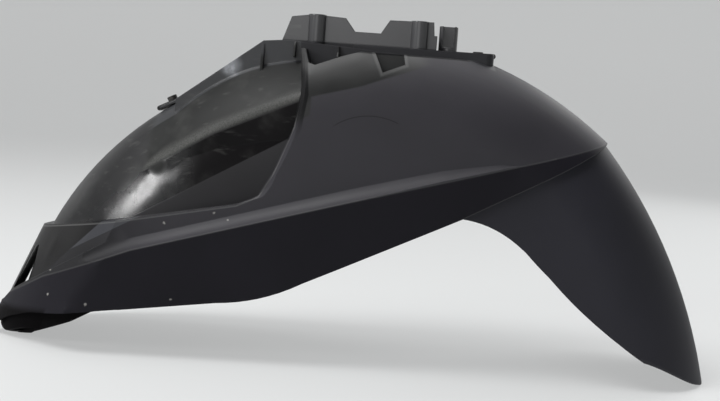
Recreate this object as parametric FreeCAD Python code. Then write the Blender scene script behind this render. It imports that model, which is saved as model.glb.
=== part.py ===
import FreeCAD, Part
import math
import os

os.makedirs("parts", exist_ok=True)
V = FreeCAD.Vector

# Driving dimensions, in mm: X runs from nose to tail, Y across, Z up from the floor
wall = 2.5
half_span = 130.0
far_left = -345.0
far_right = 372.0
sky = 330.0

# Front arch, the glossy tunnel over the wheel: a revolved section
front_axis = (-10.0, -29.0)
front_crest = 293.0
front_half = 76.0
front_crown = 60.0
front_turn = 50.5

# Main body, the squarer arch that carries the deck
main_axis = (3.0, -58.0)
main_crest = 353.0
main_half = 82.0
main_crown = 90.0
main_turn = 36.9

# Tail leaf, a flatter arch that sits one step below the main body
tail_axis = (-135.5, -108.5)
tail_crest = 484.0
tail_half = 78.5
tail_crown = 80.0
tail_turn = 61.0

# Side view: rim of the textured panel, seam to the tail, lower edges
rim_nose = (far_left, 87.0)
rim_bend = (-94.0, 138.5)
rim_turn = (-76.0, 147.0)
rim_knee = (-64.0, 168.0)
rim_waist = (-49.0, 208.0)
rim_neck = (-45.0, 236.0)
rim_top_x = -50.0
wing_nose = (-319.0, 60.0)
wing_toe = (-318.5, 5.0)
wing_lip = ((-304.0, 14.0), (-285.0, 24.5))
wing_start = (-262.0, 30.8)
collar_tip = (far_left, 19.0)
wing_bend = (-106.0, 53.0)
wing_low = (-69.0, 59.5)
wing_rise = (-34.0, 74.5)
corner = (99.0, 139.4)
seam_slope = 0.55
seam_end_x = 262.0
tail_edge = ((140.0, 126.0), (190.0, 82.0), (247.0, 37.5), (292.0, 11.0))
tail_foot = (318.0, 0.0)
foot_flat = 25.0
foot_round = 61.0
tongue_foot = (-276.0, 0.0)
tongue_rise = (-60.0, 125.0)
lap = 6.0

# Wing: station, crease half width, crease height, flute height, flute top half width
wing_stations = (
    (far_left, 92.0, -8.0, 1.0, 88.0),
    (-300.0, 92.0, 40.0, 1.0, 88.0),
    (-262.0, 92.0, 61.5, 2.0, 87.0),
    (-180.0, 93.0, 94.2, 17.0, 80.5),
    (0.0, 92.0, 147.0, 18.5, 80.5),
    (80.0, 88.5, 171.0, 16.5, 80.5),
    (130.0, 84.5, 184.5, 11.0, 80.5),
    (175.0, 77.0, 196.0, 7.0, 72.0),
)
wing_drop = 110.0
wing_tuck = 12.0
cap = 1.0

# Nose: plan outline at the floor, sheared back as it rises
nose_lean = 24.0
nose_front = -329.5
nose_cheek = (-304.0, 50.0)
nose_turn = (-276.0, 75.0)
nose_side = (-226.0, 97.0)
nose_height = 280.0
collar_front_step = 3.0
collar_cheek_step = 9.0
ledge_end = -195.0
slot_outline = ((-304.0, 39.5), (-281.0, 54.0), (-279.5, 83.0), (-285.5, 80.0))
slot_half = 10.0

# Chin: the rounded lip under the nose that stands on the floor
chin_front = ((-318.0, 27.0), (-317.0, 14.0), (-309.0, 5.0), (-294.0, 0.0))
chin_rear = (tongue_foot, (-262.0, 9.0), (-245.0, 22.0), (-225.0, 36.0))
chin_half = 56.0

# Shoulder box: station, ridge half width, ridge height, height beside the flange
box_stations = (
    (-172.0, 62.0, 166.0, 198.0),
    (-120.0, 69.0, 200.5, 243.0),
    (-40.0, 74.5, 238.0, 266.0),
)
box_base = 120.0
box_round = 6.0
box_undercut = 16.0
box_bulge = 2.5
box_trough = 3.0

# Deck with its upright flanges, gussets and notches
deck_z = 276.0
flange_half = 32.0
flange_line = ((-160.0, 224.0), (-84.5, 281.0), (-64.5, 283.0), (-7.0, 280.0), (62.0, 275.5))
flange_root = 40.0
gusset_x = -84.5
gusset_reach = 14.0
gusset_low = 229.0
recess_line = ((-45.5, 277.0), (-41.0, 263.5), (-35.5, 261.5), (-12.5, 271.0), (7.5, 277.5))
notch_line = ((14.5, 278.0), (23.0, 259.0), (41.5, 267.0), (39.5, 278.0))
notch_half = 51.0
drain_at = (63.0, 40.0)
drain_r = 5.5
rim_chamfer = 3.0

# Mounting tower: two tabs on twin walls, with four bolt bosses
tower_half = 17.5
tower_top = 308.0
tower_root = 250.0
tower_left = (-70.0, -62.0, -13.5, -4.5)
tower_right = (18.5, 26.0, 68.0)
tower_low = 282.0
tower_bridge = 295.0
tower_dip = 1.5
rib_x = (-60.0, -14.0, 32.0, 68.0)
rib_drop = 12.0
bolt_x = (-39.0, 53.0)
bolt_half = 15.0
boss_r = 8.0
bolt_r = 3.25
bolt_depth = 26.0
hook_x = 80.0
hook_r = 8.5
hook_bore = 5.0
hook_top = 306.0
hook_floor = 287.0

# Raised pad at the rear of the deck and the tab at the front of the ramp
pad_x = (-5.0, 121.0)
pad_half = 26.0
pad_z = 283.0
pad_round = 8.0
tab_start = (-156.0, 227.4)
tab_angle = 27.0
tab_length = 26.0
tab_half = 10.0
tab_root = 16.0

# Spring clip nuts, one on the pad edge and one on the tab
strip = 1.0
clip_half = 8.0
clip_bolt = 13.0
clip_top = 18.0
clip_under = 10.5
clip_bend = 0.3
barrel_r = 4.6
barrel_high = 4.0
bead_high = 1.2
thread_r = 2.5
clip_hole_r = 4.0


# Plain helpers
def point(xz):
    return V(xz[0], 0, xz[1])


def shifted(xz, dx, dz):
    return (xz[0] + dx, xz[1] + dz)


def flip(p):
    return V(p.x, -p.y, p.z)


def side_face(*runs):
    edges = []
    for run in runs:
        points = [point(p) for p in run]
        if len(points) == 2:
            edges.append(Part.makeLine(points[0], points[1]))
        else:
            curve = Part.BSplineCurve()
            curve.interpolate(points)
            edges.append(curve.toShape())
    return Part.Face(Part.Wire(edges))


def polygon(corners):
    return Part.Face(Part.makePolygon([point(c) for c in corners] + [point(corners[0])]))


def plate(face, y0, y1):
    moved = face.copy()
    moved.translate(V(0, y0, 0))
    return moved.extrude(V(0, y1 - y0, 0))


def slab(face, half=half_span):
    return plate(face, -half, half)


def block(x0, x1, y0, y1, z0, z1):
    return Part.makeBox(x1 - x0, y1 - y0, z1 - z0, V(x0, y0, z0))


def both_sides(shape):
    return [shape, shape.mirror(V(0, 0, 0), V(0, 1, 0))]


def pin(x, y, z0, z1, r):
    return Part.makeCylinder(r, z1 - z0, V(x, y, z0))


# Revolved arch: a crown arc that turns so far each way, then flank arcs and straight sides, all tangent
def arch(axis, crest, half, crown, turn, inset=0.0):
    crest, half, crown = crest - inset, half - inset, crown - inset
    toward = V(0, math.sin(math.radians(turn)), math.cos(math.radians(turn)))
    flank = (half - crown * toward.y) / (1.0 - toward.y)
    crown_mid = V(0, 0, crest - crown)
    touch = crown_mid + toward * crown
    flank_mid = touch - toward * flank
    side = V(0, half, flank_mid.z)
    bow = (side + touch) * 0.5 - flank_mid
    bow.normalize()
    middle = flank_mid + bow * flank
    foot = V(0, half, 0)
    edges = [
        Part.makeLine(foot, side),
        Part.Arc(side, middle, touch).toShape(),
        Part.Arc(touch, V(0, 0, crest), flip(touch)).toShape(),
        Part.Arc(flip(touch), flip(middle), flip(side)).toShape(),
        Part.makeLine(flip(side), flip(foot)),
        Part.makeLine(flip(foot), foot),
    ]
    section = Part.Face(Part.Wire(edges))
    section.translate(point(axis))
    return section.revolve(point(axis), V(0, 1, 0), 360)


# Volume above the floor whose lower corners are rounded across the width
def rounded_foot():
    edge = foot_flat + foot_round
    drop = foot_round * (1.0 - math.sqrt(0.5))
    a, b = V(far_left, foot_flat, 0), V(far_left, edge, foot_round)
    middle = V(far_left, edge - drop, drop)
    top = V(far_left, edge, sky)
    outline = Part.Wire([
        Part.makeLine(flip(a), a), Part.Arc(a, middle, b).toShape(), Part.makeLine(b, top),
        Part.makeLine(top, flip(top)), Part.makeLine(flip(top), flip(b)),
        Part.Arc(flip(b), flip(middle), flip(a)).toShape(),
    ])
    return Part.Face(outline).extrude(V(far_right - far_left, 0, 0))


# Side view regions
seam_len = math.hypot(1.0, seam_slope)


def seam_at(x, lift):
    on_line = (x, corner[1] + seam_slope * (x - corner[0]))
    return shifted(on_line, -lift * seam_slope / seam_len, lift / seam_len)


def crease_z(x):
    x0, z0 = wing_stations[2][0], wing_stations[2][2]
    x1, z1 = wing_stations[3][0], wing_stations[3][2]
    return z0 + (x - x0) * (z1 - z0) / (x1 - x0)


def rim_runs(inset, top_z):
    bend = shifted(rim_bend, inset, -inset)
    turn = shifted(rim_turn, inset, -inset * 0.7)
    knee = shifted(rim_knee, inset, 0)
    waist = shifted(rim_waist, inset, 0)
    neck = shifted(rim_neck, inset, 0)
    top = (rim_top_x + inset, top_z)
    return [bend, turn, knee], [knee, waist, neck, top]


def main_region(inset):
    top_z = deck_z - inset
    lower_run, upper_run = rim_runs(inset, top_z)
    end = seam_at(seam_end_x, inset)
    low = (lower_run[0][0], crease_z(lower_run[0][0]) + lap)
    base = seam_at(corner[0] + flute_height_mid, inset)
    return side_face(
        lower_run, upper_run, [upper_run[-1], (end[0], top_z)], [(end[0], top_z), end],
        [end, base], [base, low], [low, lower_run[0]],
    )


def main_hollow_region():
    top_z = deck_z - wall
    lower_run, upper_run = rim_runs(wall, top_z)
    end = seam_at(seam_end_x, wall)
    start = seam_at(corner[0] - lap, wall)
    left_low = (lower_run[0][0], -sky)
    right_low = (start[0], -sky)
    return side_face(
        lower_run, upper_run, [upper_run[-1], (end[0], top_z)], [(end[0], top_z), end],
        [end, start], [start, right_low], [right_low, left_low], [left_low, lower_run[0]],
    )


def collar_region(inset):
    left = shifted(rim_nose, 0, -inset)
    bend = shifted(rim_bend, inset, -inset)
    edge_x = rim_knee[0]
    high = (edge_x, crease_z(edge_x) + flute_height_mid * 0.5)
    low = (edge_x, crease_z(edge_x) - inset * lap)
    tip = shifted(collar_tip, 0, -inset * lap)
    return polygon([left, bend, high, low, tip])


def wing_region():
    right = seam_at(corner[0] + wing_drop, 0.0)
    roof = (right[0], deck_z)
    return side_face(
        [wing_nose, wing_toe], [wing_toe, *wing_lip, wing_start], [wing_start, wing_bend],
        [wing_bend, wing_low, wing_rise], [wing_rise, corner],
        [corner, right], [right, roof], [roof, rim_bend], [rim_bend, rim_nose],
        [rim_nose, wing_nose],
    )


def pocket_region():
    left = shifted(rim_nose, 0, -wall)
    lower_run, upper_run = rim_runs(wall, deck_z)
    right = seam_at(seam_end_x, wall)
    start = seam_at(corner[0] - lap, wall)
    low = (start[0], -sky)
    return side_face(
        [left, lower_run[0]], lower_run, upper_run,
        [upper_run[-1], (right[0], deck_z)], [(right[0], deck_z), right],
        [right, start], [start, low], [low, (far_left, -sky)], [(far_left, -sky), left],
    )


def tail_region(lift):
    start = seam_at(corner[0], lift)
    end = seam_at(seam_end_x, lift)
    low = (far_right, tail_foot[1])
    return side_face(
        [corner, *tail_edge, tail_foot], [tail_foot, low], [low, (far_right, end[1])],
        [(far_right, end[1]), end], [end, start], [start, corner],
    )


def tail_hollow_region(lift):
    start = seam_at(corner[0] - lap, lift)
    end = seam_at(seam_end_x, lift)
    return polygon([(start[0], -sky), (far_right, -sky), (far_right, end[1]), end, start])


flute_height_mid = wing_stations[4][3]
front_edge_x = rim_top_x + lap + wall
front_region = polygon([
    (far_left, 0.0), tongue_foot, tongue_rise, (front_edge_x, tongue_rise[1]),
    (front_edge_x, sky), (far_left, sky),
])


# Wing body: full width sections along the length, each with a cove that turns upright at its top
def wing_section(x, half, z, rise, top, inset, extra):
    a = V(x, half - inset, z)
    b = V(x, top - inset, z + rise)
    radius = (rise ** 2 + (a.y - b.y) ** 2) / (a.y - b.y) * 0.5
    cove_mid = b + V(0, radius, 0)
    bow = (a + b) * 0.5 - cove_mid
    bow.normalize()
    m = cove_mid + bow * radius
    c = b + V(0, 0, extra)
    d = V(x, a.y - wing_tuck, z - wing_drop)
    return Part.Wire([
        Part.makeLine(d, a), Part.Arc(a, m, b).toShape(), Part.makeLine(b, c),
        Part.makeLine(c, flip(c)), Part.makeLine(flip(c), flip(b)),
        Part.Arc(flip(b), flip(m), flip(a)).toShape(),
        Part.makeLine(flip(a), flip(d)), Part.makeLine(flip(d), d),
    ])


def wing(inset, extra):
    sections = [wing_section(*station, inset, extra) for station in wing_stations]
    return Part.makeLoft(sections, True, True)


def nose(front_in, cheek_in):
    shear = math.tan(math.radians(nose_lean))
    front = V(nose_front + front_in, 0, 0)
    cheek, turn, side = [
        V(x + cheek_in, y - cheek_in * 0.5, 0) for x, y in (nose_cheek, nose_turn, nose_side)
    ]
    far = V(far_right, half_span, 0)
    curve = Part.BSplineCurve()
    curve.interpolate([side, turn, cheek, front, flip(cheek), flip(turn), flip(side)])
    edges = [
        curve.toShape(), Part.makeLine(flip(side), flip(far)),
        Part.makeLine(flip(far), far), Part.makeLine(far, side),
    ]
    return Part.Face(Part.Wire(edges)).extrude(V(shear * nose_height, 0, nose_height))


# Shoulder box: lofted sections with a bowed roof and a rounded ridge
def box_section(x, ridge_half, ridge_z, foot_z, inset):
    ridge = V(x, ridge_half - inset, ridge_z - inset * 0.3)
    foot = V(x, flange_half - inset * 0.4, foot_z - inset)
    slope = foot - ridge
    slope.normalize()
    below = ridge - V(0, 0, box_round)
    above = ridge + slope * box_round
    soft = (below + above) * 0.25 + ridge * 0.5
    roof = (above + foot) * 0.5 + V(0, slope.z, -slope.y) * box_bulge
    base = V(x, ridge.y - box_undercut, box_base - inset * lap)
    crest = V(x, 0, foot.z - box_trough)
    return Part.Wire([
        Part.makeLine(base, below), Part.Arc(below, soft, above).toShape(),
        Part.Arc(above, roof, foot).toShape(), Part.makeLine(foot, crest),
        Part.makeLine(crest, flip(foot)), Part.Arc(flip(foot), flip(roof), flip(above)).toShape(),
        Part.Arc(flip(above), flip(soft), flip(below)).toShape(),
        Part.makeLine(flip(below), flip(base)), Part.makeLine(flip(base), base),
    ])


def shoulder_box(inset):
    return Part.makeLoft([box_section(*station, inset) for station in box_stations], True, False)


# Flanges and gussets that stand on the deck and ramp
flange_face = polygon(
    list(flange_line)
    + [shifted(p, 0, -flange_root) for p in reversed(flange_line)]
)
flange = plate(flange_face, flange_half - wall, flange_half)
gusset_top = flange_line[1][1] - wall
gusset_shape = Part.makePolygon([
    V(0, flange_half - wall, gusset_top), V(0, flange_half, gusset_top),
    V(0, flange_half + gusset_reach, gusset_low),
    V(0, flange_half + gusset_reach, gusset_low - lap * 2),
    V(0, flange_half - wall, gusset_low - lap * 2),
    V(0, flange_half - wall, gusset_top),
])
gusset = Part.Face(gusset_shape).extrude(V(wall, 0, 0))
gusset.translate(V(gusset_x - wall / 2, 0, 0))

# Tower walls, ribs, bosses and the open hook boss
tower_face = polygon([
    (tower_left[0], tower_root), (tower_left[0], tower_low),
    (tower_left[1], tower_top - tower_dip * 2), (bolt_x[0] - boss_r / 2, tower_top),
    (tower_left[2], tower_top - tower_dip), (tower_left[3], tower_bridge),
    (tower_right[0], tower_bridge), (tower_right[1], tower_top - tower_dip / 2),
    (tower_right[2] - wall, tower_top),
    (tower_right[2], tower_low), (tower_right[2], tower_root),
])
tower = both_sides(plate(tower_face, tower_half - wall, tower_half))
rib_top = tower_top - rib_drop
tower += [
    block(x - wall / 2, x + wall / 2, -tower_half, tower_half, tower_root, rib_top)
    for x in rib_x
]
for x in bolt_x:
    tower += both_sides(pin(x, bolt_half, tower_root, tower_top, boss_r))
hook = pin(hook_x, 0, tower_root, hook_top, hook_r)
hook_bite = pin(hook_x, 0, hook_floor, sky, hook_bore)
hook_bite = hook_bite.fuse(
    block(hook_x - hook_bore, hook_x + hook_bore, -hook_r * 2, hook_r * 2, hook_floor, sky)
)
hook = hook.cut(hook_bite.cut(block(0, far_right, -wall / 2, wall / 2, 0, sky)))
bolt_holes = []
for x in bolt_x:
    bolt_holes += both_sides(pin(x, bolt_half, tower_top - bolt_depth, sky, bolt_r))

# Pad and front tab with their clip openings
pad = block(pad_x[0], pad_x[1], -pad_half, pad_half, deck_z - lap * 2, pad_z)
pad_ends = [e for e in pad.Edges if e.BoundBox.XMin > pad_x[1] - 1 and e.BoundBox.ZLength > lap]
pad = pad.makeFillet(pad_round, pad_ends)
pad_space = block(
    pad_x[0] + wall, pad_x[1] - wall, -pad_half + wall, pad_half - wall,
    deck_z - lap * 3, pad_z - wall,
)
clip_seat_x = pad_x[1] - clip_bolt
pad_slot = block(
    pad_x[1] - wall * 2, pad_x[1] + wall, -clip_half - strip, clip_half + strip,
    pad_z - wall - strip * 3, pad_z - wall,
)
pad_hole = pin(clip_seat_x, 0, pad_z - wall * 2, sky, clip_hole_r)
tilt = FreeCAD.Placement(point(tab_start), FreeCAD.Rotation(V(0, 1, 0), -tab_angle))


def tilted(shape):
    moved = shape.copy()
    moved.Placement = tilt.multiply(shape.Placement)
    return moved


tab = block(-tab_length, wall, -tab_half, tab_half, -wall, 0)
tab = tab.fuse(block(-wall, tab_half, -tab_half, tab_half, -tab_root, 0))
tab = tilted(tab.cut(pin(clip_bolt - tab_length, 0, -wall * 2, wall, clip_hole_r)))


# One clip: the sheet it grips ends at local x = 0, its upper face is local z = 0
def clip(barrel_up):
    ring_mid = V(-clip_bend, 0, -wall / 2)
    ring = Part.makeCylinder(wall / 2 + strip, clip_half * 2, ring_mid - V(0, clip_half, 0), V(0, 1, 0))
    ring = ring.cut(Part.makeCylinder(wall / 2, half_span, ring_mid - V(0, clip_half * 2, 0), V(0, 1, 0)))
    ring = ring.cut(block(-clip_bend, half_span, -half_span, half_span, -half_span, half_span))
    upper = block(-clip_bend, clip_top, -clip_half, clip_half, 0, strip)
    under = block(-clip_bend, clip_under, -clip_half, clip_half, -wall - strip, -wall)
    if barrel_up:
        extra = [pin(clip_bolt, 0, 0, strip + barrel_high, barrel_r)]
    else:
        low = -wall - strip - barrel_high
        extra = [pin(clip_bolt, 0, low, -wall, barrel_r), pin(clip_bolt, 0, 0, strip + bead_high, barrel_r)]
        under = block(-clip_bend, clip_top, -clip_half, clip_half, -wall - strip, -wall)
    shape = ring.fuse([upper, under] + extra)
    shape = shape.cut(pin(clip_bolt, 0, -half_span, half_span, thread_r))
    return shape.removeSplitter()


# Outer volume
front_args = (front_axis, front_crest, front_half, front_crown, front_turn)
main_args = (main_axis, main_crest, main_half, main_crown, main_turn)
tail_args = (tail_axis, tail_crest, tail_half, tail_crown, tail_turn)
front_kept = arch(*front_args).common(slab(front_region))
main_kept = arch(*main_args).common(slab(main_region(0.0)))


def on_rim(edge):
    box = edge.BoundBox
    outside = min(abs(box.YMin), abs(box.YMax)) > flange_half and box.YLength < main_half / 2
    left = box.XMax < rim_top_x + lap * 2 and box.XMin > rim_bend[0] - cap
    return outside and left and box.ZLength > lap and box.ZMin > rim_bend[1] - cap


rim_edges = [e for e in main_kept.Edges if on_rim(e)]
main_kept = main_kept.makeChamfer(rim_chamfer, rim_edges)
tail_kept = arch(*tail_args).common(slab(tail_region(lap))).common(rounded_foot())
collar = slab(collar_region(0.0), main_half).common(nose(collar_front_step, collar_cheek_step))
slots = both_sides(plate(polygon(slot_outline), slot_half, half_span))
wing_kept = wing(0.0, cap).common(slab(wing_region())).common(nose(0.0, 0.0))
skirt = wing_kept.fuse(collar.cut(slots)).removeSplitter()


def sky_cut(line, back, grow):
    low = [shifted(q, 0, -grow) for q in line]
    low[0] = shifted(low[0], -grow, 0)
    low[-1] = shifted(low[-1], grow, 0)
    return plate(polygon(low + [(low[-1][0], sky), (low[0][0], sky)]), back - grow, half_span)


recess = sky_cut(recess_line, flange_half, 0.0)
notch = sky_cut(notch_line, notch_half, 0.0)
recess_liner = sky_cut(recess_line, flange_half, wall)
notch_liner = sky_cut(notch_line, notch_half, wall)
cuts = both_sides(recess) + both_sides(notch)
liners = both_sides(recess_liner) + both_sides(notch_liner)
outer = main_kept.fuse(skirt).fuse(tail_kept).fuse(front_kept).fuse(shoulder_box(0.0)).cut(cuts)
outer = outer.fuse(both_sides(flange) + both_sides(gusset) + tower + [hook, pad, tab])

# Inner volume
wheel_space = arch(*front_args, wall).common(block(far_left, -far_left, -half_span, half_span, -sky, sky))
main_space = arch(*main_args, wall).common(slab(main_hollow_region()))
tail_space = arch(*tail_args, wall).common(slab(tail_hollow_region(lap * 1.5)))
collar_space = slab(collar_region(wall), main_half - wall)
collar_space = collar_space.common(nose(collar_front_step + wall, collar_cheek_step + wall))
side_pocket = wing(wall, lap).common(block(ledge_end, far_right, -half_span, half_span, -sky, sky))
nose_pocket = wing(wall, cap).common(block(far_left, ledge_end, -half_span, half_span, -sky, sky))
nose_pocket.translate(V(0, 0, -wall))
nose_pocket = nose_pocket.common(nose(wall, wall))
pocket = side_pocket.fuse([nose_pocket, collar_space])
pocket = pocket.common(slab(pocket_region())).cut(front_kept)
box_space = shoulder_box(wall)
spaces = [wheel_space, main_space, tail_space, pocket, box_space, pad_space]
spaces = [s.cut(liners) for s in spaces]

chin_face = side_face(
    list(chin_front), [chin_front[-1], chin_rear[0]], list(chin_rear), [chin_rear[-1], chin_front[0]],
)
chin_mid = chin_front[0][0] + chin_half + cap


def chin_plan(half):
    return pin(chin_mid, 0, -sky, sky, half).fuse(block(chin_mid, 0, -half, half, -sky, sky))


chin_space = slab(chin_face)
chin_space.translate(V(0, 0, wall))
chin = slab(chin_face).common(chin_plan(chin_half)).common(rounded_foot())
chin = chin.cut([chin_space.common(chin_plan(chin_half - wall)), wheel_space])

body = outer.cut(spaces).fuse(chin)
drains = both_sides(pin(drain_at[0], drain_at[1], deck_z - lap, deck_z + wall, drain_r))
body = body.cut(bolt_holes + drains + [pad_slot, pad_hole])
body = body.removeSplitter()
front_clip = clip(True)
front_clip.translate(V(-tab_length, 0, 0))
front_clip = tilted(front_clip)
rear_clip = clip(False)
rear_clip.rotate(V(0, 0, 0), V(0, 0, 1), 180)
rear_clip.translate(V(pad_x[1], 0, pad_z))

# Hand over, centred along the length
pieces = {"guard_shell": body, "front_clip_nut": front_clip, "rear_clip_nut": rear_clip}
box = body.optimalBoundingBox()
print("box", box)
for name, shape in pieces.items():
    print(name, shape.isValid(), len(shape.Solids), [round(s.Volume) for s in shape.Solids])
    shape.translate(V(-box.Center.x, 0, -box.ZMin))
    shape.exportStep("parts/" + name + ".step")
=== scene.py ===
import math

import bmesh
import bpy
from mathutils import Matrix, Vector


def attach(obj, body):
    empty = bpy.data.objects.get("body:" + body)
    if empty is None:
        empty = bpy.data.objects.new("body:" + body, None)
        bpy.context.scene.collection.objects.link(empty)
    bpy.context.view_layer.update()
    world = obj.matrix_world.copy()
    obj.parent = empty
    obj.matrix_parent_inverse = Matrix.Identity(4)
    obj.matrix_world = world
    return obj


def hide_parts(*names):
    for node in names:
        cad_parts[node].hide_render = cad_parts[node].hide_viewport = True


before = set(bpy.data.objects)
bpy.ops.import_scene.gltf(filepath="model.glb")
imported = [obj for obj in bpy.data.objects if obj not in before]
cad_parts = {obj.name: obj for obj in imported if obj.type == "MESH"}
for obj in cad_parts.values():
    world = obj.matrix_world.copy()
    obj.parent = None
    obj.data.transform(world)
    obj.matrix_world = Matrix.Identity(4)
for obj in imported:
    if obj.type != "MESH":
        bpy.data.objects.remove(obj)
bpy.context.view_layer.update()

# Millimetres to metres
MM = 0.001

# Camera: the point aimed at, distance, lens and angles
AIM = Vector((1.2, 0.0, 142.0)) * MM
DISTANCE = 1.0
LENS = 54.0
SENSOR = 36.0
PITCH = math.radians(5.3)
YAW = math.radians(1.0)
ROLL = math.radians(4.0)

# Stage: a round floor that sweeps up into a wall, in metres, and its finish
FLOOR_RADIUS = 3.6
SWEEP_RADIUS = 0.6
SWEEP_STEPS = 10
WALL_HIGH = 1.9
RING_STEPS = 96
FLOOR_COLOUR = (0.62, 0.63, 0.63, 1.0)
FLOOR_ROUGH = 0.6
GLOW_COLOUR = (0.84, 0.85, 0.85, 1.0)
FLOOR_GLOW = 0.5

# Light: the world, then each lamp's place, target and size in metres, and its watts
WORLD_COLOUR = (0.80, 0.82, 0.84, 1.0)
WORLD_STRENGTH = 0.12
LAMPS = (
    ("key", (-0.95, -0.57, 1.75), (0.0, 0.0, 0.15), (0.9, 0.9), 34.0),
    ("window", (-1.52, -1.20, 0.86), (-0.2, 0.0, 0.14), (0.46, 0.40), 9.5),
    ("top", (0.3, 0.5, 1.9), (0.1, 0.6, 0.2), (2.0, 1.0), 15.0),
    ("card", (-0.4, -2.0, 0.5), (-0.1, 0.0, 0.2), (1.0, 0.6), 2.5),
    ("rim", (-1.7, 0.75, 1.0), (-0.2, 0.0, 0.14), (1.5, 1.3), 3.2),
    ("rear", (1.3, 1.7, 1.2), (0.05, 0.0, 0.15), (1.2, 1.2), 13.0),
)

# Skin: vertices closer than this are one, edges sharper than this stay crisp
WELD = 0.02 * MM
CRISP = math.radians(24.0)

# Rounding off: edges are split down to a grain in mm, then the fine mesh is relaxed
GRAIN = 2.2
SPLITS = 6
SAMPLES = (0.0, 0.25, 0.5, 0.75, 1.0)
PASSES = 60
RELAX = 0.5

# Front end of the shoulder box, in mm
LOBE_X = -180.8
LOBE_REACH = 26.0
LOBE_HALF = 36.0
LOBE_Z = 140.0

# Soft turn from the nose to the wing face: side-view line, reach, inner half width, margins, in mm
TURN = ((-238.5, 35.0), (-209.0, 78.0))
TURN_REACH = 30.0
TURN_HALF = 62.0
TURN_MARGIN = 3.0
TURN_FADE = 6.0

# Chin: its foot is lifted from the middle outwards into a rounded keel, in mm
KEEL_END = -215.0
KEEL_HALF = (8.0, 50.0)
KEEL_TOP = 24.0
KEEL_LIFT = 7.0
KEEL_GRAIN = 4.0

# Small ribs beside the flanges: name, x, foot and top height, then their half widths, in mm
RIBS = (("front", -64.9, 268.0, 282.0), ("rear", -26.5, 270.0, 280.3))
SIDES = (("near", -1.0), ("far", 1.0))
RIB_ROOT = 31.0
RIB_FOOT = 41.0
RIB_TOP = 34.0
RIB_THICK = 2.2
RIB_EDGE = 0.4
RIB_SEGMENTS = 2

# Borders of the finish zones, and of the zones of painted shade and painted highlight, in mm, as
# side-view lines (x, z)
RIM = (
    (-353.0, 87.0), (-103.0, 138.5), (-85.5, 147.0), (-73.5, 168.0),
    (-58.5, 208.0), (-54.5, 236.0), (-59.5, 276.0),
)
CREASE = ((-309.0, 40.0), (-271.0, 61.5), (-189.0, 94.2), (-9.0, 147.0), (166.0, 196.0))
SEAM = ((90.0, 139.4), (253.0, 229.0))
WALL_LINE = ((-187.0, 124.0), (-81.5, 186.0))
SHOULDER_LINE = ((-45.5, 234.0), (-4.0, 245.5), (62.0, 271.0))
SHOULDER_DROP = ((-53.0, 214.0), (-44.5, 219.0))
RIDGE = ((-181.0, 169.0), (-128.5, 200.5), (-49.0, 237.0))
COLLAR = ((-223.0, 111.0), (-274.0, 63.0), (-309.0, 40.0))
FACET = ((-257.0, 82.2), (-196.0, 116.2))
SHEEN = ((-226.0, 118.0), (-180.0, 176.0))
CHIN = ((-328.0, 26.0), (-233.0, 38.0))
NOTCH = ((5.7, 278.0), (14.2, 259.0), (32.7, 267.0), (30.7, 278.0))
SCOOP = ((-54.3, 277.0), (-49.8, 263.5), (-44.3, 261.5), (-21.3, 271.0), (-1.3, 277.5))
LOBE_TIP = (-176.0, 166.0)
DECK_Z = 262.0
DECK_HALF = 33.0

# How far each border is softened to either side, in mm
SOFT_RIM = 0.4
SOFT_COLLAR = 0.5
SOFT_UNDER = 0.6
SOFT_WALL = 0.8
SOFT_ZONE = 1.0
SOFT_CHIN = 4.0

# Spans over which a zone begins or ends, in mm along x, across, up, or off one of the lines
BAND_X = (-235.0, -150.0)
SHOULDER_X = (40.0, 60.0)
DECK_X = (113.0, 114.0)
TOP_Z = (274.5, 275.0)
TOP_SIDE = (33.0, 34.0)
LIP_RIM = (-8.0, -7.0)
LIP_Z = (196.0, 226.0)
LIP_SIDE = (33.0, 35.0)
SHEEN_OFF = (-6.0, 12.0)
BOX_START = (-12.0, -2.0)
TIP_OFF = (4.0, 11.0)
ROOF_EDGE = (-5.0, -3.0)
UNDERCUT_START = (14.0, 46.0)
UNDERCUT_DEPTH = (-70.0, -40.0)
RIDGE_FOOT = (-5.0, -1.0)
RIDGE_TOP = (0.0, 9.0)
RIDGE_SIDE = (54.0, 58.0)
FLANGE_FOOT = (0.0, 2.0)
FLANGE_SIDE = (34.0, 36.0)
TOWER_Z = (283.0, 285.0)
CHIN_SIDE = (78.0, 80.0)
CHIN_X = (-219.0, -215.0)
RIM_EDGE_START = (-2.2, -1.7)
RIM_EDGE_END = (-1.0, -0.5)
RIM_EDGE_Z = (205.0, 225.0)
CREASE_EDGE = (0.3, 1.0)
CUT_SIDE = (34.0, 36.0)
CUT_Z = (250.0, 254.0)
CUT_EDGE = (-0.8, 0.2)
NOTCH_EDGE = (-4.0, -1.5)
SCOOP_EDGE = (-12.0, -1.0)
SCOOP_X = (-12.3, 5.7)
FLANK_Y = (-62.0, -60.0)

# Plastic colours, from the grained panels to the dust that lies on them; several of them are painted
# shade and painted highlights, as marked
GRAINED = (0.0265, 0.0252, 0.0305, 1.0)
TAIL = (0.018, 0.0177, 0.0238, 1.0)
# Painted shade: the wing face below the crease faces down and is made darker than the grained panels
UNDER = (0.0096, 0.009, 0.0125, 1.0)
SATIN = (0.012, 0.0123, 0.0123, 1.0)
ROOF = (0.015, 0.0155, 0.0152, 1.0)
POLISHED = (0.011, 0.011, 0.0118, 1.0)
DECK = (0.026, 0.026, 0.029, 1.0)
# Painted shade: the strip beside the rim at the top of the front arch, darkened where its face is lit
LIP = (0.006, 0.006, 0.0065, 1.0)
BAND = (0.015, 0.0148, 0.0165, 1.0)
TOWER = (0.050, 0.050, 0.053, 1.0)
FLANGE = (0.020, 0.021, 0.024, 1.0)
WALL = (0.013, 0.0126, 0.0142, 1.0)
TOP = (0.013, 0.013, 0.014, 1.0)
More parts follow.
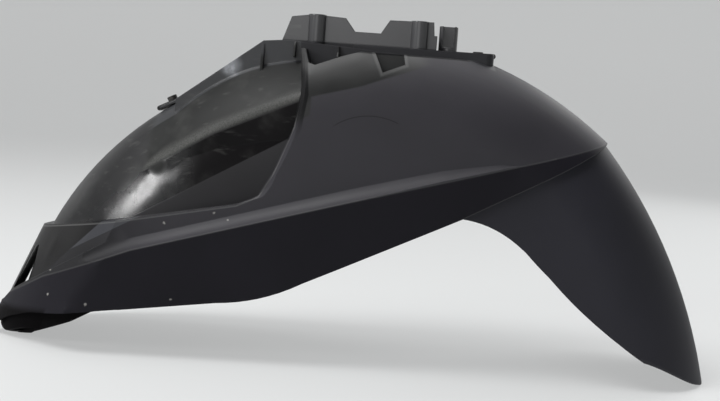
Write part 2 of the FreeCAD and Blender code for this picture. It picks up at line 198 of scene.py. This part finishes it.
# Painted shade under the shoulder box's ridge, on the nose collar and on the chin; also the dark of
# the curved scratch
PAINTED_SHADE_AND_SCRATCH = (0.004, 0.0036, 0.004, 1.0)
# Painted reflection: a pale bluish tone on the facet beside the nose collar
FACETED = (0.030, 0.031, 0.037, 1.0)
# Pale edge lines, partly wear and partly painted highlight on rounded edges
EDGE = (0.10, 0.10, 0.10, 1.0)
# Dust on the front arch, also used for the painted highlight along the shoulder box's ridge
DUST_AND_HIGHLIGHT = (0.20, 0.20, 0.19, 1.0)
CHIP = (0.34, 0.33, 0.31, 1.0)
# Painted highlight on the flange
FLANGE_HIGHLIGHT = (0.52, 0.54, 0.58, 1.0)

# Finish laid over the grained base, zone by zone: colour, roughness and level of gloss; the under,
# lip, undercut, collar and chin colours are painted shade, and the facet's colour is a painted
# reflection
GRAINED_LEVEL = 0.30
LAYERS = (
    ("band", BAND, 0.58, 0.20),
    # painted shade on the downward-facing wing face
    ("under", UNDER, 0.55, 0.12),
    ("tail", TAIL, 0.56, 0.26),
    ("shoulder", SATIN, "satin", 0.35),
    ("top", TOP, 0.60, 0.10),
    ("deck", DECK, 0.42, 0.22),
    ("wall", WALL, 0.55, 0.22),
    # painted shade on the strip beside the rim
    ("lip", LIP, 0.40, 0.12),
    ("arch", POLISHED, "gloss", "polish"),
    ("roof", ROOF, 0.52, 0.15),
    # painted shade below the ridge
    ("undercut", PAINTED_SHADE_AND_SCRATCH, 0.30, 0.10),
    ("flange", FLANGE, "satin", 0.50),
    ("tower", TOWER, 0.22, 0.60),
    # painted shade on the nose collar
    ("collar", PAINTED_SHADE_AND_SCRATCH, 0.35, 0.25),
    # painted reflection on the facet
    ("facet", FACETED, 0.28, 0.50),
    # painted shade on the chin, which lies under the wing
    ("chin", PAINTED_SHADE_AND_SCRATCH, 0.60, 0.03),
)

# Pale edges, partly wear and partly painted highlight where rounded edges catch the light: zone and
# strength
EDGES = (("rim edge", 0.55), ("crease edge", 0.25), ("notch edge", 0.40), ("scoop edge", 0.35))

# Unevenness, as noise: scale per metre, detail, stretch
SMUDGE_NOISE = (22.0, 4.0)
WIPE_NOISE = (60.0, 5.0, (1.0, 1.0, 0.25))
MOTTLE_NOISE = (9.0, 3.0)
GRIT_AND_HIGHLIGHT_NOISE = (800.0, 3.0)
FILM_NOISE = (34.0, 6.0)
SCUFF_NOISE = (150.0, 5.0, (0.25, 1.0, 1.0))
FLANGE_HIGHLIGHT_NOISE = (90.0, 4.0)
CHIP_NOISE = (420.0, 2.0)
GRAIN_NOISE = (1500.0, 1.0)
STEEL_NOISE = (260.0, 3.0)
RUBBED_NOISE = (180.0, 2.0)

# What follows from it: the noise's low and high, then the two values that these give
GRAINED_ROUGH = (0.3, 0.7, 0.52, 0.60)
GLOSS_ROUGH = (0.8, 1.25, 0.12, 0.26)
SATIN_ROUGH = (0.3, 0.75, 0.34, 0.44)
MOTTLE_SHADE = (0.3, 0.7, 0.88, 1.12)
GRIT_AND_HIGHLIGHT_SHARE = (0.30, 0.65, 0.5, 1.0)
FILM_SHARE = (0.52, 0.8, 0.0, 0.10)
SCUFF_SHARE = (0.58, 0.72, 0.0, 0.10)
FLANGE_HIGHLIGHT_SHARE = (0.4, 0.65, 0.4, 1.0)
CHIP_RAGGED = (0.25, 0.75, -0.6, 0.6)
STEEL_SHARE = (0.35, 0.7, 0.0, 1.0)
STEEL_ROUGH = (0.3, 0.7, 0.30, 0.48)

# Level of gloss from the foot of the polished arch to its satin upper part
POLISH_LEVEL = (0.50, 0.30)
GRIT_AND_HIGHLIGHT_STRENGTH = 0.30

# Fine grain: its depth, and its strength on grained and on polished places, then the rounding of edges
GRAIN_DEPTH = 0.2 * MM
GRAIN_STRENGTH = (0.22, 0.02)
EDGE_RADIUS = 1.3 * MM
EDGE_SAMPLES = 4

# Chips on the photographed flank as (x, z, radius) in mm, their fade in radii, and their strength
CHIPS = (
    (-163.0, 118.4, 1.3), (-121.0, 130.0, 1.5), (-108.7, 124.8, 1.0), (-264.0, 69.0, 1.5),
    (-262.4, 48.2, 1.1), (-226.0, 44.0, 1.4), (-153.4, 53.7, 1.2),
)
CHIP_FADE = (0.2, 1.2)
CHIP_STRENGTH = 0.7

# Curved scratch on that flank: three points of its arc, then its half width and ends, in mm
SCRATCH = ((-26.5, 209.2), (8.0, 221.5), (32.3, 215.8))
SCRATCH_FADE = (0.28, 0.7)
SCRATCH_START = (-26.5, -20.5)
SCRATCH_END = (28.3, 32.3)
SCRATCH_Z = (205.2, 207.2)
SCRATCH_STRENGTH = 0.7

# Painted highlight on the flange, in mm
FLANGE_HIGHLIGHT_AT = (-121.5, 257.5)
FLANGE_HIGHLIGHT_FADE = (1.3, 13.0)
FLANGE_HIGHLIGHT_STRENGTH = 0.95

# Spring steel of the clip nuts
STEEL = (0.028, 0.028, 0.030, 1.0)
STEEL_WORN = (0.055, 0.053, 0.050, 1.0)
STEEL_METAL = 0.7


# Builds one material: most helpers return the output socket of a new node
class Shader:
    # Sockets of a mix node: the two inputs and the output, for numbers and for colours
    MIX_NUMBER = (2, 3, 0)
    MIX_COLOUR = (6, 7, 2)

    def __init__(self, name):
        self.material = bpy.data.materials.new(name)
        self.material.use_nodes = True
        self.tree = self.material.node_tree
        self.body = self.tree.nodes["Principled BSDF"]
        self.place = self.node("ShaderNodeTexCoord").outputs["Object"]
        self.spot = self.scaled(self.place, 1.0 / MM)
        parts = self.node("ShaderNodeSeparateXYZ")
        self.link(self.spot, parts.inputs[0])
        self.x, self.y, self.z = parts.outputs
        self.half = self.math("ABSOLUTE", self.y)

    def node(self, kind, **values):
        made = self.tree.nodes.new(kind)
        for key, value in values.items():
            setattr(made, key, value)
        return made

    def link(self, source, target):
        if isinstance(source, (int, float, tuple)):
            target.default_value = source
        else:
            self.tree.links.new(source, target)

    def math(self, operation, a, b=0.0):
        made = self.node("ShaderNodeMath", operation=operation)
        self.link(a, made.inputs[0])
        self.link(b, made.inputs[1])
        return made.outputs[0]

    def scaled(self, vector, factor):
        made = self.node("ShaderNodeVectorMath", operation="SCALE")
        self.link(vector, made.inputs[0])
        self.link(factor, made.inputs["Scale"])
        return made.outputs[0]

    def mix(self, kind, sockets, share, a, b):
        made = self.node("ShaderNodeMix", data_type=kind)
        first, second, result = sockets
        self.link(share, made.inputs[0])
        self.link(a, made.inputs[first])
        self.link(b, made.inputs[second])
        return made.outputs[result]

    def tint(self, share, a, b):
        return self.mix("RGBA", self.MIX_COLOUR, share, a, b)

    def blend(self, share, a, b):
        return self.mix("FLOAT", self.MIX_NUMBER, share, a, b)

    def all_of(self, first, *others):
        for other in others:
            first = self.math("MULTIPLY", first, other)
        return first

    # Runs from one number to another as the value crosses from low to high
    def ramp(self, value, low, high, start=0.0, end=1.0):
        made = self.node("ShaderNodeMapRange", interpolation_type="SMOOTHSTEP")
        self.link(value, made.inputs["Value"])
        self.link(low, made.inputs["From Min"])
        self.link(high, made.inputs["From Max"])
        self.link(start, made.inputs["To Min"])
        self.link(end, made.inputs["To Max"])
        return made.outputs[0]

    # Shares that grow from 0 to 1, or shrink from 1 to 0, over a span
    def grow(self, value, span):
        return self.ramp(value, *span)

    def shrink(self, value, span):
        return self.ramp(value, *span, 1.0, 0.0)

    # Shares on the left of a border and on its right, from the distance to it
    def within(self, distance, soft):
        return self.grow(distance, (-soft, soft))

    def beyond(self, distance, soft):
        return self.shrink(distance, (-soft, soft))

    def noise(self, scale, detail, stretch=(1.0, 1.0, 1.0)):
        mapped = self.node("ShaderNodeMapping")
        self.link(self.place, mapped.inputs["Vector"])
        mapped.inputs["Scale"].default_value = stretch
        made = self.node("ShaderNodeTexNoise")
        self.link(mapped.outputs[0], made.inputs["Vector"])
        made.inputs["Scale"].default_value = scale
        made.inputs["Detail"].default_value = detail
        return made.outputs[0]

    # Distance to the left of a side-view line that runs from a to b
    def left_of(self, a, b):
        long = math.hypot(b[0] - a[0], b[1] - a[1])
        across = ((a[1] - b[1]) / long, 0.0, (b[0] - a[0]) / long)
        made = self.node("ShaderNodeVectorMath", operation="DOT_PRODUCT")
        self.link(self.spot, made.inputs[0])
        self.link(across, made.inputs[1])
        return self.math("SUBTRACT", made.outputs["Value"], across[0] * a[0] + across[2] * a[1])

    def left_of_run(self, run):
        inside = self.left_of(run[0], run[1])
        for a, b in zip(run[1:], run[2:]):
            inside = self.math("MINIMUM", inside, self.left_of(a, b))
        return inside

    # Distance in side view from one point
    def away(self, x, z):
        made = self.node("ShaderNodeCombineXYZ")
        self.link(self.math("SUBTRACT", self.x, x), made.inputs[0])
        self.link(self.math("SUBTRACT", self.z, z), made.inputs[2])
        size = self.node("ShaderNodeVectorMath", operation="LENGTH")
        self.link(made.outputs[0], size.inputs[0])
        return size.outputs["Value"]


# Circle through three side-view points: its middle and radius
def circle(a, b, c):
    turn = 2.0 * (a[0] * (b[1] - c[1]) + b[0] * (c[1] - a[1]) + c[0] * (a[1] - b[1]))
    squares = [p[0] ** 2 + p[1] ** 2 for p in (a, b, c)]
    x = (squares[0] * (b[1] - c[1]) + squares[1] * (c[1] - a[1]) + squares[2] * (a[1] - b[1])) / turn
    z = (squares[0] * (c[0] - b[0]) + squares[1] * (a[0] - c[0]) + squares[2] * (b[0] - a[0])) / turn
    return x, z, math.hypot(a[0] - x, a[1] - z)


# Share of each finish zone, and of each zone of painted shade and painted highlight, from 0 outside to
# 1 inside
def finish_and_painted_light_zones(s):
    rim = s.left_of_run(RIM)
    under_rim = s.left_of(*RIM[1::-1])
    below = s.math("MINIMUM", s.left_of_run(CREASE[::-1]), s.left_of(*SEAM))
    above = s.left_of(*WALL_LINE)
    ridge = s.math("MAXIMUM", s.left_of(*RIDGE[:2]), s.left_of(*RIDGE[1:]))
    started = s.math("SUBTRACT", s.x, RIDGE[0][0])
    rise = s.math("MINIMUM", s.left_of(*SHOULDER_LINE[:2]), s.left_of(*SHOULDER_LINE[1:]))
    drop = s.math("MINIMUM", s.left_of(*SHOULDER_DROP), s.math("SUBTRACT", SHOULDER_DROP[1][0], s.x))
    shoulder = s.math("MAXIMUM", rise, drop)
    deck = s.math("MINIMUM", s.math("SUBTRACT", s.z, DECK_Z), s.math("SUBTRACT", DECK_HALF, s.half))
    collar = s.math("MINIMUM", s.left_of_run(COLLAR[::-1]), under_rim)
    facet = s.math("MINIMUM", s.left_of(*COLLAR[:2]), s.left_of(*FACET))
    facet = s.math("MINIMUM", facet, under_rim)
    notch = s.left_of_run(NOTCH)
    scoop = s.left_of_run(SCOOP)
    cuts = s.all_of(s.grow(s.half, CUT_SIDE), s.grow(s.z, CUT_Z))
    front = s.within(rim, SOFT_RIM)
    arch = s.all_of(front, s.within(above, SOFT_WALL))
    box = s.all_of(arch, s.grow(started, BOX_START))
    roof = s.math("MAXIMUM", s.grow(ridge, ROOF_EDGE), s.shrink(s.away(*LOBE_TIP), TIP_OFF))
    return {
        "band": s.shrink(s.x, BAND_X),
        # painted shade on the wing face below the crease
        "under": s.within(below, SOFT_UNDER),
        "tail": s.within(s.left_of(*SEAM[::-1]), SOFT_ZONE),
        "shoulder": s.all_of(s.within(shoulder, SOFT_ZONE), s.shrink(s.x, SHOULDER_X)),
        "top": s.all_of(s.grow(s.z, TOP_Z), s.grow(s.half, TOP_SIDE)),
        "deck": s.all_of(s.within(deck, SOFT_ZONE), s.shrink(s.x, DECK_X)),
        "wall": s.all_of(front, s.beyond(above, SOFT_WALL)),
        # painted shade on the strip beside the rim
        "lip": s.all_of(s.grow(rim, LIP_RIM), s.grow(s.z, LIP_Z), s.grow(s.half, LIP_SIDE)),
        "arch": arch,
        "sheen": s.grow(s.left_of(*SHEEN), SHEEN_OFF),
        "roof": s.all_of(box, roof),
        # painted shade below the shoulder box's ridge
        "undercut": s.all_of(
            arch, s.grow(started, UNDERCUT_START),
            s.grow(ridge, UNDERCUT_DEPTH), s.shrink(ridge, ROOF_EDGE),
        ),
        # the band along the ridge, which gets a painted highlight
        "ridge": s.all_of(
            box, s.grow(ridge, RIDGE_FOOT), s.shrink(ridge, RIDGE_TOP), s.grow(s.half, RIDGE_SIDE),
        ),
        "flange": s.all_of(box, s.grow(ridge, FLANGE_FOOT), s.shrink(s.half, FLANGE_SIDE)),
        "tower": s.grow(s.z, TOWER_Z),
        # painted shade on the nose collar
        "collar": s.within(collar, SOFT_COLLAR),
        # painted reflection on the facet
        "facet": s.within(facet, SOFT_COLLAR),
        # painted shade on the chin under the wing
        "chin": s.all_of(
            s.beyond(s.left_of(*CHIN), SOFT_CHIN), s.shrink(s.half, CHIN_SIDE), s.shrink(s.x, CHIN_X),
        ),
        # Thin pale lines along the rim, crease, notch and scoop: partly wear, partly painted highlight
        "rim edge": s.all_of(
            s.grow(rim, RIM_EDGE_START), s.shrink(rim, RIM_EDGE_END), s.shrink(s.z, RIM_EDGE_Z),
        ),
        "crease edge": s.shrink(s.math("ABSOLUTE", below), CREASE_EDGE),
        "notch edge": s.all_of(cuts, s.grow(notch, NOTCH_EDGE), s.shrink(notch, CUT_EDGE)),
        "scoop edge": s.all_of(
            cuts, s.grow(scoop, SCOOP_EDGE), s.shrink(scoop, CUT_EDGE), s.shrink(s.x, SCOOP_X),
        ),
        "flank": s.shrink(s.y, FLANK_Y),
    }


# Pale edges that are partly wear and partly painted highlight, dust on the arch, a painted highlight
# along the ridge and a painted highlight on the flange, laid on the plastic's own colour
def dust_wear_and_highlights(s, zone, colour):
    # Pale edge lines, partly wear and partly painted highlight
    edges = 0.0
    for name, strength in EDGES:
        edges = s.math("MAXIMUM", edges, s.math("MULTIPLY", zone[name], strength))
    colour = s.tint(edges, colour, EDGE)
    # Painted highlight along the shoulder box's ridge, broken up like grit
    ridge_grit_and_highlight = s.all_of(zone["ridge"], s.ramp(s.noise(*GRIT_AND_HIGHLIGHT_NOISE), *GRIT_AND_HIGHLIGHT_SHARE), GRIT_AND_HIGHLIGHT_STRENGTH)
    film = s.all_of(zone["arch"], s.ramp(s.noise(*FILM_NOISE), *FILM_SHARE))
    scuff = s.all_of(zone["arch"], s.ramp(s.noise(*SCUFF_NOISE), *SCUFF_SHARE))
    dust_and_highlight = s.math("MAXIMUM", ridge_grit_and_highlight, s.math("MAXIMUM", film, scuff))
    colour = s.tint(dust_and_highlight, colour, DUST_AND_HIGHLIGHT)
    # Painted highlight on the flange
    flange_highlight = s.ramp(s.away(*FLANGE_HIGHLIGHT_AT), *FLANGE_HIGHLIGHT_FADE, FLANGE_HIGHLIGHT_STRENGTH, 0.0)
    flange_highlight = s.all_of(flange_highlight, zone["flange"], s.ramp(s.noise(*FLANGE_HIGHLIGHT_NOISE), *FLANGE_HIGHLIGHT_SHARE))
    return s.tint(flange_highlight, colour, FLANGE_HIGHLIGHT)


# Chips and the curved scratch on the photographed flank
def scarred(s, zone, colour):
    chips = 0.0
    ragged = s.ramp(s.noise(*CHIP_NOISE), *CHIP_RAGGED)
    for x, z, size in CHIPS:
        reach = s.math("ADD", s.away(x, z), ragged)
        inner, outer = CHIP_FADE
        chips = s.math("MAXIMUM", chips, s.ramp(reach, size * inner, size * outer, CHIP_STRENGTH, 0.0))
    colour = s.tint(s.all_of(chips, zone["flank"]), colour, CHIP)
    x, z, radius = circle(*SCRATCH)
    line = s.math("ABSOLUTE", s.math("SUBTRACT", s.away(x, z), radius))
    line = s.all_of(
        s.ramp(line, *SCRATCH_FADE, SCRATCH_STRENGTH, 0.0), zone["flank"],
        s.grow(s.x, SCRATCH_START), s.shrink(s.x, SCRATCH_END), s.grow(s.z, SCRATCH_Z),
    )
    return s.tint(line, colour, PAINTED_SHADE_AND_SCRATCH)


# Black moulding: grained panels, a polished front arch, dust and small chips, with painted shade and
# painted highlights in some zones
def plastic():
    s = Shader("moulded_plastic")
    zone = finish_and_painted_light_zones(s)
    smudge = s.noise(*SMUDGE_NOISE)
    mottle = s.noise(*MOTTLE_NOISE)
    satin = s.ramp(smudge, *SATIN_ROUGH)
    gloss = s.ramp(s.math("ADD", smudge, s.noise(*WIPE_NOISE)), *GLOSS_ROUGH)
    uneven = {
        "satin": satin,
        "gloss": s.blend(zone["sheen"], gloss, satin),
        "polish": s.ramp(zone["sheen"], 0.0, 1.0, *POLISH_LEVEL),
    }
    colour = GRAINED
    rough = s.ramp(mottle, *GRAINED_ROUGH)
    level = GRAINED_LEVEL
    for name, paint, finish, shine in LAYERS:
        colour = s.tint(zone[name], colour, paint)
        rough = s.blend(zone[name], rough, uneven.get(finish, finish))
        level = s.blend(zone[name], level, uneven.get(shine, shine))
    colour = s.scaled(colour, s.ramp(mottle, *MOTTLE_SHADE))
    colour = scarred(s, zone, dust_wear_and_highlights(s, zone, colour))

    edge = s.node("ShaderNodeBevel", samples=EDGE_SAMPLES)
    edge.inputs["Radius"].default_value = EDGE_RADIUS
    grain = s.node("ShaderNodeBump")
    smooth = s.math("MAXIMUM", zone["arch"], zone["deck"])
    s.link(edge.outputs[0], grain.inputs["Normal"])
    s.link(s.noise(*GRAIN_NOISE), grain.inputs["Height"])
    s.link(s.ramp(smooth, 0.0, 1.0, *GRAIN_STRENGTH), grain.inputs["Strength"])
    grain.inputs["Distance"].default_value = GRAIN_DEPTH
    s.link(grain.outputs[0], s.body.inputs["Normal"])
    s.link(colour, s.body.inputs["Base Color"])
    s.link(rough, s.body.inputs["Roughness"])
    s.link(level, s.body.inputs["Specular IOR Level"])
    return s.material


# Dark spring steel, rubbed paler in patches
def spring_steel():
    s = Shader("clip_steel")
    patch = s.ramp(s.noise(*STEEL_NOISE), *STEEL_SHARE)
    s.link(s.tint(patch, STEEL, STEEL_WORN), s.body.inputs["Base Color"])
    s.link(s.ramp(s.noise(*RUBBED_NOISE), *STEEL_ROUGH), s.body.inputs["Roughness"])
    s.body.inputs["Metallic"].default_value = STEEL_METAL
    return s.material


# Signed distance of a side-view point from a line, positive to its left
def offset(line, x, z):
    (ax, az), (bx, bz) = line
    return ((bx - ax) * (z - az) - (bz - az) * (x - ax)) / math.hypot(bx - ax, bz - az)


def clamp(value):
    return min(1.0, max(0.0, value))


# Full up to half the reach, then fading out
def nearness(distance, reach):
    return clamp(2.0 - 2.0 * abs(distance) / reach)


# Share of a point in each place that is softened, from 0 outside to 1 inside
def in_lobe(place):
    x, y, z = place / MM
    if abs(y) < LOBE_HALF or z < LOBE_Z:
        return 0.0
    return nearness(x - LOBE_X, LOBE_REACH)


def in_turn(place):
    x, y, z = place / MM
    if abs(y) < TURN_HALF:
        return 0.0
    room = min(-offset(CREASE[1:3], x, z), z - TURN[0][1]) - TURN_MARGIN
    return nearness(offset(TURN, x, z), TURN_REACH) * clamp(room / TURN_FADE)


def in_keel(place):
    x, y, z = place / MM
    if x > KEEL_END or z > KEEL_TOP:
        return 0.0
    low, high = KEEL_HALF
    return clamp((abs(y) - low) / (high - low)) ** 2 * (1.0 - z / KEEL_TOP)


# Splits the edges that cross a place until they are as short as the grain
def refine(work, share, grain):
    for step in range(SPLITS):
        long = []
        for edge in work.edges:
            a, b = (vert.co for vert in edge.verts)
            if edge.calc_length() > grain * MM and any(share(a.lerp(b, t)) > 0.0 for t in SAMPLES):
                long.append(edge)
        bmesh.ops.subdivide_edges(work, edges=long, cuts=1)
        bmesh.ops.triangulate(work, faces=[face for face in work.faces if len(face.verts) > 3])


# Rounds off the edges in one place
def round_off(work, share):
    refine(work, share, GRAIN)
    moving = [(vert, share(vert.co)) for vert in work.verts if share(vert.co) > 0.0]
    for step in range(PASSES):
        places = []
        for vert, weight in moving:
            around = [edge.other_vert(vert).co for edge in vert.link_edges]
            middle = sum(around, Vector()) / len(around)
            places.append(vert.co.lerp(middle, RELAX * weight))
        for (vert, weight), place in zip(moving, places):
            vert.co = place


# Lifts the sides of the chin's foot
def round_keel(work):
    refine(work, in_keel, KEEL_GRAIN)
    for vert in work.verts:
        vert.co.z += KEEL_LIFT * MM * in_keel(vert.co)


# Merges what lies together, takes out faces folded flat onto each other, and closes the mesh again
def clean(work):
    bmesh.ops.remove_doubles(work, verts=work.verts, dist=WELD)
    bmesh.ops.dissolve_degenerate(work, edges=work.edges, dist=WELD)
    stacks = {}
    for face in work.faces:
        stacks.setdefault(frozenset(face.verts), []).append(face)
    folded = [face for stack in stacks.values() for face in stack[len(stack) % 2:]]
    bmesh.ops.delete(work, geom=folded, context="FACES")
    open_edges = [edge for edge in work.edges if edge.is_boundary]
    bmesh.ops.holes_fill(work, edges=open_edges, sides=3)


# Object made from a finished mesh
def placed(name, work, material):
    mesh = bpy.data.meshes.new(name)
    work.to_mesh(mesh)
    work.free()
    mesh.materials.append(material)
    thing = bpy.data.objects.new(name, mesh)
    bpy.context.scene.collection.objects.link(thing)
    return thing


# Welded copy of a solid's mesh, smooth apart from its crisp edges
def skin_of(node, name, material):
    work = bmesh.new()
    work.from_mesh(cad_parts[node].data)
    clean(work)
    round_off(work, in_lobe)
    round_off(work, in_turn)
    round_keel(work)
    clean(work)
    for face in work.faces:
        face.smooth = True
    piece = placed(name, work, material)
    if "custom_normal" in piece.data.attributes:
        piece.data.attributes.remove(piece.data.attributes["custom_normal"])
    piece.data.set_sharp_from_angle(angle=CRISP)
    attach(piece, "root")
    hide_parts(node)
    return piece


# Tapered rib that stands against the outer face of a flange
def rib(name, x, low, high, side, material):
    corners = ((RIB_ROOT, low), (RIB_FOOT, low), (RIB_TOP, high), (RIB_ROOT, high))
    work = bmesh.new()
    ends = [
        [work.verts.new(Vector((x + step, side * y, z)) * MM) for y, z in corners]
        for step in (-RIB_THICK / 2, RIB_THICK / 2)
    ]
    for end in ends:
        work.faces.new(end)
    for i in range(len(corners)):
        work.faces.new((ends[0][i - 1], ends[0][i], ends[1][i], ends[1][i - 1]))
    bmesh.ops.recalc_face_normals(work, faces=work.faces)
    bmesh.ops.bevel(work, geom=work.edges, offset=RIB_EDGE * MM, segments=RIB_SEGMENTS, affect="EDGES")
    piece = placed(name, work, material)
    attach(piece, "root")


# Pale stage finish, lifted a little where it is seen directly or mirrored
def pale_floor():
    s = Shader("pale_floor")
    s.body.inputs["Base Color"].default_value = FLOOR_COLOUR
    s.body.inputs["Roughness"].default_value = FLOOR_ROUGH
    path = s.node("ShaderNodeLightPath").outputs
    seen = s.math("MAXIMUM", path["Is Camera Ray"], path["Is Glossy Ray"])
    seen = s.math("MAXIMUM", seen, path["Is Transmission Ray"])
    glow = s.node("ShaderNodeEmission")
    glow.inputs["Color"].default_value = GLOW_COLOUR
    mixed = s.node("ShaderNodeMixShader")
    s.link(s.math("MULTIPLY", seen, FLOOR_GLOW), mixed.inputs[0])
    s.link(s.body.outputs[0], mixed.inputs[1])
    s.link(glow.outputs[0], mixed.inputs[2])
    s.link(mixed.outputs[0], s.tree.nodes["Material Output"].inputs["Surface"])
    return s.material


# Round floor that sweeps up into a low wall on every side
def backdrop():
    profile = [(FLOOR_RADIUS, 0.0)]
    for i in range(1, SWEEP_STEPS + 1):
        turn = math.pi / 2 * i / SWEEP_STEPS
        profile.append((
            FLOOR_RADIUS + SWEEP_RADIUS * math.sin(turn),
            SWEEP_RADIUS - SWEEP_RADIUS * math.cos(turn),
        ))
    profile.append((FLOOR_RADIUS + SWEEP_RADIUS, WALL_HIGH))
    turns = [2.0 * math.pi * i / RING_STEPS for i in range(RING_STEPS)]
    work = bmesh.new()
    rings = [
        [work.verts.new((radius * math.cos(t), radius * math.sin(t), z)) for t in turns]
        for radius, z in profile
    ]
    work.faces.new(rings[0])
    for low, high in zip(rings, rings[1:]):
        for i in range(RING_STEPS):
            work.faces.new((low[i], low[i - 1], high[i - 1], high[i]))
    for face in work.faces:
        face.smooth = True
    floor = placed("backdrop", work, pale_floor())


def lamp(name, place, target, size, watts):
    data = bpy.data.lights.new(name, "AREA")
    data.shape = "RECTANGLE"
    data.size, data.size_y = size
    data.energy = watts
    thing = bpy.data.objects.new(name, data)
    thing.location = place
    thing.rotation_euler = (Vector(target) - Vector(place)).to_track_quat("-Z", "Y").to_euler()
    bpy.context.scene.collection.objects.link(thing)


def light():
    world = bpy.data.worlds.new("studio")
    world.use_nodes = True
    back = world.node_tree.nodes["Background"]
    back.inputs["Color"].default_value = WORLD_COLOUR
    back.inputs["Strength"].default_value = WORLD_STRENGTH
    bpy.context.scene.world = world
    for settings in LAMPS:
        lamp(*settings)


def camera():
    data = bpy.data.cameras.new("camera")
    data.lens = LENS
    data.sensor_width = SENSOR
    forward = Vector((
        -math.sin(YAW) * math.cos(PITCH), math.cos(YAW) * math.cos(PITCH), -math.sin(PITCH)
    ))
    level = Vector((math.cos(YAW), math.sin(YAW), 0.0))
    upright = level.cross(forward)
    right = level * math.cos(ROLL) + upright * math.sin(ROLL)
    up = upright * math.cos(ROLL) - level * math.sin(ROLL)
    eye = bpy.data.objects.new("camera", data)
    turn = Matrix((right, up, -forward)).transposed()
    eye.matrix_world = Matrix.Translation(AIM - forward * DISTANCE) @ turn.to_4x4()
    bpy.context.scene.collection.objects.link(eye)
    bpy.context.scene.camera = eye


black = plastic()
shell = skin_of("guard_shell", "guard_skin", black)
for place, x, low, high in RIBS:
    for hand, side in SIDES:
        rib("flange_rib_" + place + "_" + hand, x, low, high, side, black)
steel = spring_steel()
for clip in ("front_clip_nut", "rear_clip_nut"):
    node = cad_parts[clip]
    node.data.materials.clear()
    node.data.materials.append(steel)
backdrop()
light()
camera()
bpy.context.scene.view_settings.view_transform = "Standard"
